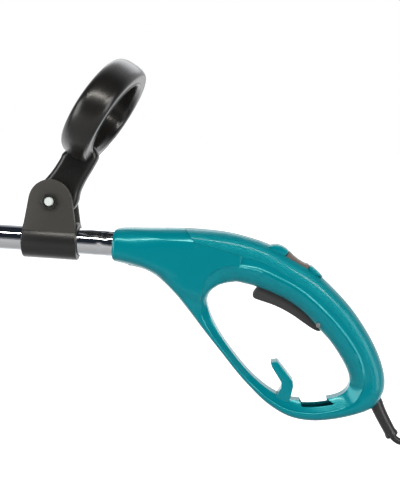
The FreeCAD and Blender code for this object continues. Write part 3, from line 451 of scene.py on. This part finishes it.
BACK_SQUARE = 2 / 2.3
MOUTH, MOUTH_ROUND = -168.4, 3.0
NECK_HALF, NECK_TOP_ROUND, NECK_LOW_ROUND = 16.85, 15.0, 10.0
PAST_MOUTH = -175.0
top_line = outer_line(31.2, 29.0, (PAST_MOUTH, 39.6))
low_line = outer_line(20.0, 25.0, (PAST_MOUTH, 9.2))

# four sections to a station, and more where the notch and the end of the tongue are crisp
stops = [i / 4 for i in range(4 * len(HANDLE_STATIONS))]
stops += [NOTCH - 0.02, NOTCH + 0.02, TONGUE - 0.12, TONGUE - 0.08, TONGUE - 0.05, TONGUE - 0.01]
stops = sorted(set(stops))
sections = [section(at) for at in stops]
columns = len(sections[0])
first_side = WALL_ROWS + RIM_ROWS + 1
shell = bmesh.new()
bmesh.ops.create_grid(shell, x_segments=len(stops), y_segments=columns - 1, size=1.0)
grain_layer = shell.verts.layers.float.new("grain")
station_layer = shell.verts.layers.float.new("station")
row_layer = shell.verts.layers.float.new("row")
for vert in shell.verts:
    i = round((vert.co.x + 1) / 2 * len(stops)) % len(stops)
    j = round((vert.co.y + 1) / 2 * (columns - 1))
    at = stops[i]
    in_x, in_z, out_x, out_z = closed_curve(HANDLE_STATIONS, at)[:4]
    share, depth, grain = sections[i][j]
    x, z = in_x + (out_x - in_x) * share, in_z + (out_z - in_z) * share
    necked = ramp(at, *NECK_BLEND) if at < NOTCH else 0.0
    if necked and first_side <= j < columns - 1:
        depth = max(HALF_SEAM, depth * (1 - necked) + neck_depth(x, z) * necked)
    vert.co = (x, -depth, z)
    vert[grain_layer], vert[station_layer], vert[row_layer] = grain, at, j
bmesh.ops.remove_doubles(shell, verts=shell.verts, dist=0.0005)
bmesh.ops.recalc_face_normals(shell, faces=shell.faces)
if sum(f.normal.y * f.calc_area() for f in shell.faces) > 0:
    bmesh.ops.reverse_faces(shell, faces=shell.faces)

# the slots that the button, the trigger and a loop of the cord pass through: the button's half
# length, half height and half width; the trigger's x and z limits; the cord's stations and rows
BUTTON_SLOT = (11.4, 9.0, 7.4)
TRIGGER_SLOT = (-41.5, 21.0, -42.0, 1.0)
CORD_SLOT_STATIONS, CORD_SLOT_ROWS = (11.9, 14.1), WALL_ROWS + 4.2
LOCK_MIDDLE = (-3.5, 21.2)
LOCK_TILT = math.radians(30.3)


def lock_place(u, w):
    """(x, z) of a point u along the button and w above the middle of its top."""
    return (LOCK_MIDDLE[0] + u * math.cos(LOCK_TILT) + w * math.sin(LOCK_TILT),
            LOCK_MIDDLE[1] - u * math.sin(LOCK_TILT) + w * math.cos(LOCK_TILT))


def in_slot(face):
    """True for a face of the shell that one of the slots takes away."""
    x, y, z = face.calc_center_median()
    along = ((x - LOCK_MIDDLE[0]) * math.cos(LOCK_TILT) - (z - LOCK_MIDDLE[1]) * math.sin(LOCK_TILT))
    above = ((x - LOCK_MIDDLE[0]) * math.sin(LOCK_TILT) + (z - LOCK_MIDDLE[1]) * math.cos(LOCK_TILT))
    long, high, wide = BUTTON_SLOT
    button = abs(along) < long and abs(above) < high and y > -wide
    front, rear, low, top = TRIGGER_SLOT
    on_wall = y > -INNER_WALL + 0.05
    trigger = on_wall and front < x < rear and low < z < top and above <= -high
    station, row = [sum(v[layer] for v in face.verts) / 4 for layer in (station_layer, row_layer)]
    cord = CORD_SLOT_STATIONS[0] < station < CORD_SLOT_STATIONS[1] and row < CORD_SLOT_ROWS
    return button or trigger or cord


bmesh.ops.delete(shell, geom=[f for f in shell.faces if in_slot(f)], context="FACES")
for layer in ("station", "row"):
    shell.verts.layers.float.remove(shell.verts.layers.float[layer])


def finished_mesh(bm, modifier, **settings):
    """The bmesh with one of Blender's modifiers applied to it."""
    data = bpy.data.meshes.new("working")
    bm.to_mesh(data)
    bm.free()
    holder = bpy.data.objects.new("working", data)
    bpy.context.scene.collection.objects.link(holder)
    applied = holder.modifiers.new("working", modifier)
    for key, value in settings.items():
        setattr(applied, key, value)
    evaluated = holder.evaluated_get(bpy.context.evaluated_depsgraph_get())
    made = bpy.data.meshes.new_from_object(evaluated)
    result = bmesh.new()
    result.from_mesh(made)
    bpy.data.objects.remove(holder)
    bpy.data.meshes.remove(data)
    bpy.data.meshes.remove(made)
    return result


shell = finished_mesh(shell, "SOLIDIFY", thickness=WALL, offset=-1.0, thickness_clamp=1.6)
CORD_HOOK = [(-21.8, -71.2), (-16, -69.9), (-8, -79), (-1.2, -86.9), (-0.3, -91.3), (-1.6, -99),
             (-3, -106), (-15.1, -106), (-15.1, -101), (-10.9, -93.8), (-11.2, -88.4), (-20.5, -75)]
HOOK_HALF = 8.5
plate(shell, CORD_HOOK, -HOOK_HALF, -HALF_SEAM, 0.8, 3, both=False)

# the low guards moulded in front of and behind the button
GUARD_FRONT = [(-30.5, 32.2), (-27, 33.6), (-23, 34.1), (-18.5, 33.0), (-14.5, 30.9), (-12.3, 29.1),
               (-14.9, 24.6), (-22, 26.5)]
GUARD_REAR = [(6.6, 14.2), (7.2, 17.4), (9.4, 16.6), (15.5, 11.8), (19, 8.4), (12, 9.5)]
GUARD_HALF = 8.4
for outline in (GUARD_FRONT, GUARD_REAR):
    plate(shell, outline, -GUARD_HALF, -HALF_SEAM, 1.3, 3, both=False)
mirrored = shell.copy()
teal = finish("teal_plastic", (0.0, 0.186, 0.232), 0.24, shade=0.93, depth=0.00002, band="grain",
              rough_span=0.05, Specular_Tint=(0.1, 0.95, 0.95, 1.0), Specular_IOR_Level=0.6,
              Coat_Weight=0.3, Coat_Roughness=0.14)
piece(shell, "handle_right", teal, "handle", "teal_shell", "handle_shell_right")
bmesh.ops.scale(mirrored, vec=(1, -1, 1), verts=mirrored.verts)
bmesh.ops.reverse_faces(mirrored, faces=mirrored.faces)

# the left-hand shell is drilled for six sunk screws, each in its own boss
SCREW_PLACES = [(-100, 33.5), (-94, -20), (-74, 34), (47, -31), (70, -66), (-20, -104.5)]
SINK_RADIUS, BOSS_RADIUS, BOSS_FOOT, DRILL_TOP = 3.6, 5.0, 7.5, 24.0


def tube(bm, x, z, radius, low, high, segments=32):
    """Adds a plain closed bar along Y."""
    turn = Matrix.Translation((x, (low + high) / 2, z)) @ Matrix.Rotation(math.pi / 2, 4, "X")
    bmesh.ops.create_cone(bm, cap_ends=True, segments=segments, radius1=radius, radius2=radius,
                          depth=high - low, matrix=turn)


drills = bmesh.new()
bosses = bmesh.new()
surface = BVHTree.FromBMesh(mirrored)
for x, z in SCREW_PLACES:
    tube(drills, x, z, SINK_RADIUS, BOSS_FOOT - 1, DRILL_TOP)
    top = surface.ray_cast(Vector((x, DRILL_TOP, z)), Vector((0, -1, 0)))[0].y
    tube(bosses, x, z, BOSS_RADIUS, BOSS_FOOT, top - WALL / 2)
drill_data = bpy.data.meshes.new("drills")
drills.to_mesh(drill_data)
drills.free()
drill_object = bpy.data.objects.new("drills", drill_data)
bpy.context.scene.collection.objects.link(drill_object)
mirrored = finished_mesh(mirrored, "BOOLEAN", operation="DIFFERENCE", object=drill_object, solver="EXACT")
bosses = finished_mesh(bosses, "BOOLEAN", operation="DIFFERENCE", object=drill_object, solver="EXACT")
boss_data = bpy.data.meshes.new("bosses")
bosses.to_mesh(boss_data)
bosses.free()
mirrored.from_mesh(boss_data)
bpy.data.meshes.remove(boss_data)
bpy.data.objects.remove(drill_object)
piece(mirrored, "handle_left", teal, "handle", "teal_shell", "handle_shell_left")

zinc = finish("zinc_plate", (0.55, 0.56, 0.57), 0.34, shade=0.8, grain=2500.0, Metallic=1.0)
dark_steel = finish("dark_steel", (0.11, 0.11, 0.12), 0.38, shade=0.7, Metallic=1.0)
paint(zinc, "handle_screws", "cord_clamp_screws", "trigger_pin", "trigger_spring", "lock_off_spring")


# ---- Trigger: a dark grey moulded lever under the grip, on a steel pin at its rear end.
# It works the switch in the neck through a short plunger.
TRIGGER_OUTLINE = [
    (-37.5, -3.6), (-39.8, -7.2), (-41.7, -10.8), (-40.9, -14.2), (-37.5, -15.8), (-21.1, -20.4),
    (-7.2, -26.6), (4.9, -33.9), (12.3, -38.3), (17.5, -40.4), (20.8, -39.6), (23.5, -34), (15, -26),
    (-8, -8), (-28, 1), (-35, 3.4)]
TRIGGER_HALF = 6.0
trigger_mesh = bmesh.new()
plate(trigger_mesh, rounded(TRIGGER_OUTLINE, 4), -TRIGGER_HALF, TRIGGER_HALF, 1.7, 5)
trigger_grey = finish("trigger_grey", (0.030, 0.030, 0.031), 0.42, grain=1800.0, depth=0.00003)
piece(trigger_mesh, "trigger_lever", trigger_grey, "trigger", "trigger_grey", "trigger")
switch_black = finish("switch_black", (0.02, 0.02, 0.022), 0.4)
paint(switch_black, "switch_body", "switch_plunger", "cord_clamp", "brush_holders")


# ---- Lock-off button: a warm grey rocker let into the back of the grip. The thumb slides
# over its hollow back and presses it before the trigger will move.
BUTTON_OUTLINE = [(-11, -6), (-11, 1.6), (-10.3, 2.2), (-8.8, 2.0), (-6, 1.2), (0, 0.7), (6, 1.0),
                  (9.8, 2.2), (11, 1.6), (11, -6)]
BUTTON_HALF = 6.8
button_mesh = bmesh.new()
plate(button_mesh, [lock_place(u, w) for u, w in BUTTON_OUTLINE], -BUTTON_HALF, BUTTON_HALF, 1.3, 4)
button_grey = finish("button_grey", (0.15, 0.118, 0.105), 0.34, grain=1500.0, depth=0.00004)
piece(button_mesh, "lock_off_button", button_grey, "lock_off", "button_grey", "lock_off")


# ---- Strain relief: a soft black sleeve, moulded on the cord, that leaves the handle's rear
# corner in a slight bend and ends in a rolled lip.
def ringed(bm, places, sides=40):
    """Adds a closed turned body through (point, direction, radius) places."""
    loops = []
    for point, way, radius in places:
        turn = Matrix.Translation(point) @ way.to_track_quat("Z", "Y").to_matrix().to_4x4()
        made = bmesh.ops.create_circle(bm, cap_ends=False, radius=radius, segments=sides, matrix=turn)
        loops.append(list({e for v in made["verts"] for e in v.link_edges}))
    faces = []
    for one, other in zip(loops, loops[1:]):
        faces += bmesh.ops.bridge_loops(bm, edges=one + other)["faces"]
    for end in (loops[0], loops[-1]):
        faces += bmesh.ops.contextual_create(bm, geom=end)["faces"]
    bmesh.ops.recalc_face_normals(bm, faces=faces)


RELIEF_LINE = (Vector((74.7, 0, -102.9)), Vector((77.5, 0, -110.1)), Vector((91.25, 0, -131.57)))
RELIEF_ROOT = Vector((70.4, 0, -92.0))
RELIEF_PROFILE = [(0.0, 6.1), (0.1, 5.95), (0.3, 5.75), (0.5, 5.55), (0.7, 5.4), (0.85, 5.3),
                  (0.90, 5.3), (0.92, 5.6), (0.94, 5.9), (0.975, 5.9), (0.99, 5.7), (1.0, 5.1)]
relief_places = [(RELIEF_ROOT, (RELIEF_LINE[0] - RELIEF_ROOT).normalized(), 5.0)]
for t, radius in RELIEF_PROFILE:
    start, bend, end = RELIEF_LINE
    point = start * (1 - t) ** 2 + bend * 2 * t * (1 - t) + end * t * t
    way = ((bend - start) * (1 - t) + (end - bend) * t).normalized()
    relief_places.append((point, way, radius))
relief_mesh = bmesh.new()
ringed(relief_mesh, relief_places)
relief_rubber = finish("relief_rubber", (0.018, 0.018, 0.019), 0.36, grain=1200.0)
piece(relief_mesh, "relief_sleeve", relief_rubber, "handle", "cord_rubber", "strain_relief", sharp=50)

# the lead that runs on from the sleeve, round the rear of the grip, to the switch
LEAD_ROUTE = [(72, 0, -98), (68.7, 0, -92.5), (65.2, 0, -86.5), (61.8, -0.8, -78), (59, -3.0, -67),
              (53.5, -6.5, -55.5), (45, -8.8, -44.5), (35, -9.0, -32.5), (24, -9.0, -20.5), (11, -9.0, -9),
              (-2, -9.0, 1.5), (-14, -8.4, 10.5), (-21.5, -6.6, 17), (-27, -5.4, 19), (-31.9, -5.4, 19),
              (-35, -5.4, 19)]
LEAD_RADIUS = 2.3
lead_points = [Vector(closed_curve(LEAD_ROUTE, 1 + i / 3)) for i in range(3 * len(LEAD_ROUTE) - 8)]
lead_places = [(point, (after - before).normalized(), LEAD_RADIUS) for before, point, after
               in zip(lead_points[:1] + lead_points, lead_points, lead_points[1:] + lead_points[-1:])]
lead_mesh = bmesh.new()
ringed(lead_mesh, lead_places, 24)
piece(lead_mesh, "switch_cable", cord_rubber, "handle", "cord_rubber", "switch_lead", sharp=50)


# ---- Upper tube: bright chromed steel, 24 mm across. It is dimpled just ahead of the handle,
# where a press has locked it, and slides inside the lower tube.
def bored(bm, wall):
    """Bores a turned bar right through, which leaves a wall of that thickness."""
    ends = [f for f in bm.faces if len(f.verts) > 4]
    bmesh.ops.inset_individual(bm, faces=ends, thickness=wall)
    bmesh.ops.bridge_loops(bm, edges=[e for f in ends for e in f.edges])
    bmesh.ops.delete(bm, geom=ends, context="FACES_ONLY")
    bmesh.ops.recalc_face_normals(bm, faces=bm.faces)


TUBE_RADIUS, TUBE_BORE, SHAFT_Z = 12.0, 10.8, 25.2
TUBE_FRONT, TUBE_REAR = -600.0, -118.0
# place along the shaft, angle above the side, half length, half angle and depth of each dimple
DIMPLES = [(-180.5, -6, 2.4, 13, 0.55), (-176.0, 42, 3.0, 16, 0.5), (-187.5, 52, 4.0, 16, 0.4),
           (-173.0, -46, 3.2, 18, 0.5), (-184.0, -38, 3.5, 14, 0.25), (-171.0, 12, 1.6, 24, 0.3)]
# rings far apart along the plain length, and close together round the dimples
tube_stops = [TUBE_FRONT, -520, -440, -360, -300, -270]
tube_stops += [-260 + 4 * i for i in range(16)] + [-197 + i for i in range(33)] + [-160, -140, TUBE_REAR]
tube_mesh = bmesh.new()
tube_places = [(Vector((x, 0, SHAFT_Z)), Vector((1, 0, 0)), TUBE_RADIUS) for x in tube_stops]
ringed(tube_mesh, tube_places, 96)
for vert in tube_mesh.verts:
    angle = math.degrees(math.atan2(vert.co.z - SHAFT_Z, -vert.co.y))
    dent = sum(deep * math.exp(-((vert.co.x - x) / long) ** 2 - ((angle - lift) / wide) ** 2)
               for x, lift, long, wide, deep in DIMPLES)
    inward = Vector((0, vert.co.y, vert.co.z - SHAFT_Z)).normalized()
    vert.co -= inward * dent
bored(tube_mesh, TUBE_RADIUS - TUBE_BORE)
chrome = finish("chrome", (0.72, 0.74, 0.78), 0.06, shade=0.9, grain=500.0, depth=0.000006,
                rough_span=0.04, Metallic=1.0)
piece(tube_mesh, "shaft_upper", chrome, "handle", "chromed_tube", "upper_tube", sharp=40)


# ---- Clamp bracket: a black strap bent round the tube, with two ears that hold the loop's
# stem. A nut on the right-hand side and a bolt with a knob on the left clamp the three.
BOLT_X, BOLT_Z = -225.6, 60.6
STRAP_FRONT, STRAP_REAR, STRAP_RADIUS = -250.0, -200.6, 17.0
STRAP_GAP = 0.3
EAR_INNER, EAR_OUTER, EAR_ROUND, EAR_FOOT = 9.5, 14.5, 19.6, 30.6
EAR_START, EAR_END, EAR_STEPS = 13.3, 173.6, 32
ear = [(STRAP_FRONT, SHAFT_Z), (STRAP_REAR, SHAFT_Z), (STRAP_REAR, EAR_FOOT)]
for step in range(EAR_STEPS + 1):
    angle = math.radians(EAR_START + (EAR_END - EAR_START) * step / EAR_STEPS)
    ear.append((BOLT_X + EAR_ROUND * math.cos(angle), BOLT_Z + EAR_ROUND * math.sin(angle)))
ear.append((STRAP_FRONT, EAR_FOOT))
ears_mesh = bmesh.new()
plate(ears_mesh, ear, -EAR_OUTER, -EAR_INNER, 0.9, 3)
plate(ears_mesh, ear, EAR_INNER, EAR_OUTER, 0.9, 3)
barrel = bmesh.new()
ringed(barrel, [(Vector((x, 0, SHAFT_Z)), Vector((1, 0, 0)), STRAP_RADIUS)
                for x in (STRAP_FRONT, STRAP_REAR)], 96)
bored(barrel, STRAP_RADIUS - TUBE_RADIUS - STRAP_GAP)
rims = [e for e in barrel.edges if e.calc_face_angle(0.0) > 1.0]
bmesh.ops.bevel(barrel, geom=rims, offset=1.1, segments=3, profile=0.5, affect="EDGES",
                clamp_overlap=True, material=-1)
# The ears' and knobs' black is lighter and browner than the barrel's. This is partly the plastic's own tone
# and partly painted sheen, standing in for the broad reflections on the bracket.
black_plastic = finish("black_plastic", (0.038, 0.036, 0.032), 0.48, grain=1600.0, depth=0.00004)
piece(ears_mesh, "bracket_ears", black_plastic, "bracket", "black_plastic", "clamp_bracket", sharp=30)
barrel_black = finish("barrel_black", (0.012, 0.0115, 0.012), 0.33, grain=1600.0, depth=0.00003)
piece(barrel, "bracket_barrel", barrel_black, "bracket", "black_plastic", sharp=30)

NUT_CORNER, NUT_LOW, NUT_HIGH = 7.5, -18.0, -11.5
nut_mesh = bmesh.new()
hexagon = [(BOLT_X + NUT_CORNER * math.cos(math.radians(60 * k)),
            BOLT_Z + NUT_CORNER * math.sin(math.radians(60 * k))) for k in range(6)]
plate(nut_mesh, hexagon, NUT_LOW, NUT_HIGH, 0.5, 2)
face = min((f for f in nut_mesh.faces if len(f.verts) == 6), key=lambda f: f.calc_center_median().y)
bmesh.ops.inset_individual(nut_mesh, faces=[face], thickness=1.5, depth=0.0)
bmesh.ops.inset_individual(nut_mesh, faces=[face], thickness=0.5, depth=-1.2)
black_oxide = finish("black_oxide", (0.02, 0.02, 0.02), 0.3, grain=1500.0, depth=0.00003)
piece(nut_mesh, "bracket_nut", black_oxide, "bracket", "dark_steel", "pivot_nut", sharp=30)
bright_zinc = finish("bright_zinc", (0.74, 0.79, 0.78), 0.5, shade=0.9, grain=2500.0, Metallic=0.35)
paint(bright_zinc, "pivot_bolt")
paint(zinc, "tilt_bolt", "fork_screw", "housing_screws", "guard_screws", "cutter_screws",
      "bearing_plate", "lower_bearing", "upper_bearing")
washer_black = finish("washer_rubber", (0.02, 0.02, 0.02), 0.6)
paint(washer_black, "friction_washers")
paint(black_plastic, "clamp_knob", "tilt_knob")


# ---- Loop handle: one oval hoop of smooth black plastic on a stem. The band is barrelled
# outside, flat inside, with a shallow channel in its rear rim.
LOOP_CENTRE = Vector((-182.9, 0, 142.8))
LOOP_TILT = math.radians(59.7)
LOOP_HALF_HIGH, LOOP_HALF_WIDE, LOOP_THICK, LOOP_BAND = 49.0, 70.0, 16.0, 28.0
LOOP_STEPS, LOOP_SIDES = 128, 48
BARREL_SQUARE, INSIDE_SQUARE = 2.7, 4.0
CHANNEL_HALF, CHANNEL_DEPTH, CHANNEL_EDGE = 4.2, 1.1, 0.8
lean = Vector((math.cos(LOOP_TILT), 0, math.sin(LOOP_TILT)))
rear_way = Vector((math.sin(LOOP_TILT), 0, -math.cos(LOOP_TILT)))
loop_mesh = bmesh.new()
bmesh.ops.create_grid(loop_mesh, x_segments=LOOP_STEPS, y_segments=LOOP_SIDES, size=1.0)


def signed_power(value, power):
    """A power that keeps the value's sign, for squarish rounds."""
    return math.copysign(abs(value) ** power, value)


for vert in loop_mesh.verts:
    turn = round((vert.co.x + 1) / 2 * LOOP_STEPS) % LOOP_STEPS / LOOP_STEPS * 2 * math.pi
    around = round((vert.co.y + 1) / 2 * LOOP_SIDES) % LOOP_SIDES / LOOP_SIDES * 2 * math.pi
    square = BARREL_SQUARE if math.cos(around) > 0 else INSIDE_SQUARE
    out = LOOP_THICK / 2 * signed_power(math.cos(around), 2 / square)
    back = LOOP_BAND / 2 * signed_power(math.sin(around), 2 / square)
    if back > 0 and abs(out) < CHANNEL_HALF:
        back -= CHANNEL_DEPTH * ramp(CHANNEL_HALF - abs(out), 0.0, CHANNEL_EDGE)
    along, across = LOOP_HALF_HIGH - LOOP_THICK / 2, LOOP_HALF_WIDE - LOOP_THICK / 2
    middle = lean * along * math.cos(turn) + Vector((0, across * math.sin(turn), 0))
    normal = (lean * across * math.cos(turn) + Vector((0, along * math.sin(turn), 0))).normalized()
    vert.co = LOOP_CENTRE + middle + normal * out + rear_way * back
bmesh.ops.remove_doubles(loop_mesh, verts=loop_mesh.verts, dist=0.0005)
bmesh.ops.recalc_face_normals(loop_mesh, faces=loop_mesh.faces)
STEM_OUTLINE = [(-217.4, 104.5), (-220.4, 98.6), (-226, 89), (-231.5, 81.5), (-238.5, 73), (-242.6, 61),
                (-236.5, 47.5), (-225.6, 43.2), (-214.5, 47), (-206, 54), (-202.3, 61), (-200.8, 69.6),
                (-196.5, 80), (-189, 94), (-186, 103), (-192, 112), (-205, 113)]
STEM_HALF = 7.4
plate(loop_mesh, rounded(STEM_OUTLINE, 4), -STEM_HALF, STEM_HALF, 5.6, 6)
black_loop = finish("black_loop", (0.0095, 0.009, 0.0085), 0.27, grain=900.0, depth=0.00001, patch=9.0,
                    rough_span=0.06)
piece(loop_mesh, "loop_grip_hoop", black_loop, "loop", "black_loop", "loop_handle", sharp=32)


# ---- Lower shaft: a black powder-coated tube, a black collet, a twist collar and a
# cast fork that holds the cutting head.
powder_black = finish("powder_black", (0.028, 0.028, 0.030), 0.45, grain=700.0, depth=0.00006)
paint(powder_black, "lower_tube", "head_fork")
collar_black = finish("collar_black", (0.022, 0.022, 0.024), 0.4, grain=1500.0)
paint(collar_black, "lock_collar", "tube_collet")
paint(dark_steel, "tilt_nut", "line_cutter", "armature_shaft")


# ---- Cutting head: the motor in a housing of two teal halves screwed together, with a black
# guard under it. The rotor carries the line's spool, which feeds line when its knob is bumped.
housing_teal = finish("housing_teal", (0.0, 0.195, 0.24), 0.38, shade=0.93, depth=0.00006, grain=1100.0,
                      Specular_Tint=(0.1, 0.95, 0.95, 1.0))
paint(housing_teal, "motor_housing_right", "motor_housing_left")
guard_black = finish("guard_black", (0.024, 0.024, 0.026), 0.45, grain=1100.0, depth=0.00007)
paint(guard_black, "guard", "spool_carrier", "fan")
spool_black = finish("spool_black", (0.024, 0.024, 0.026), 0.36, grain=1500.0)
paint(spool_black, "spool", "bump_knob")
lamination = finish("lamination", (0.28, 0.28, 0.29), 0.45, grain=1800.0, depth=0.0001,
                    stretch=(0.1, 0.1, 1.0), Metallic=1.0)
paint(lamination, "stator_core", "armature_core")
copper = finish("enamelled_copper", (0.62, 0.26, 0.12), 0.3, grain=2200.0, depth=0.0002, Metallic=0.8)
paint(copper, "field_coils", "commutator")
paint(plated_brass, "line_eyelets")
carbon = finish("pressed_carbon", (0.02, 0.02, 0.02), 0.55)
paint(carbon, "carbon_brushes")
paint(zinc, "bump_spring")
nylon = finish("orange_nylon", (0.72, 0.19, 0.02), 0.3, shade=0.85)
paint(nylon, "wound_line", "line_ends")
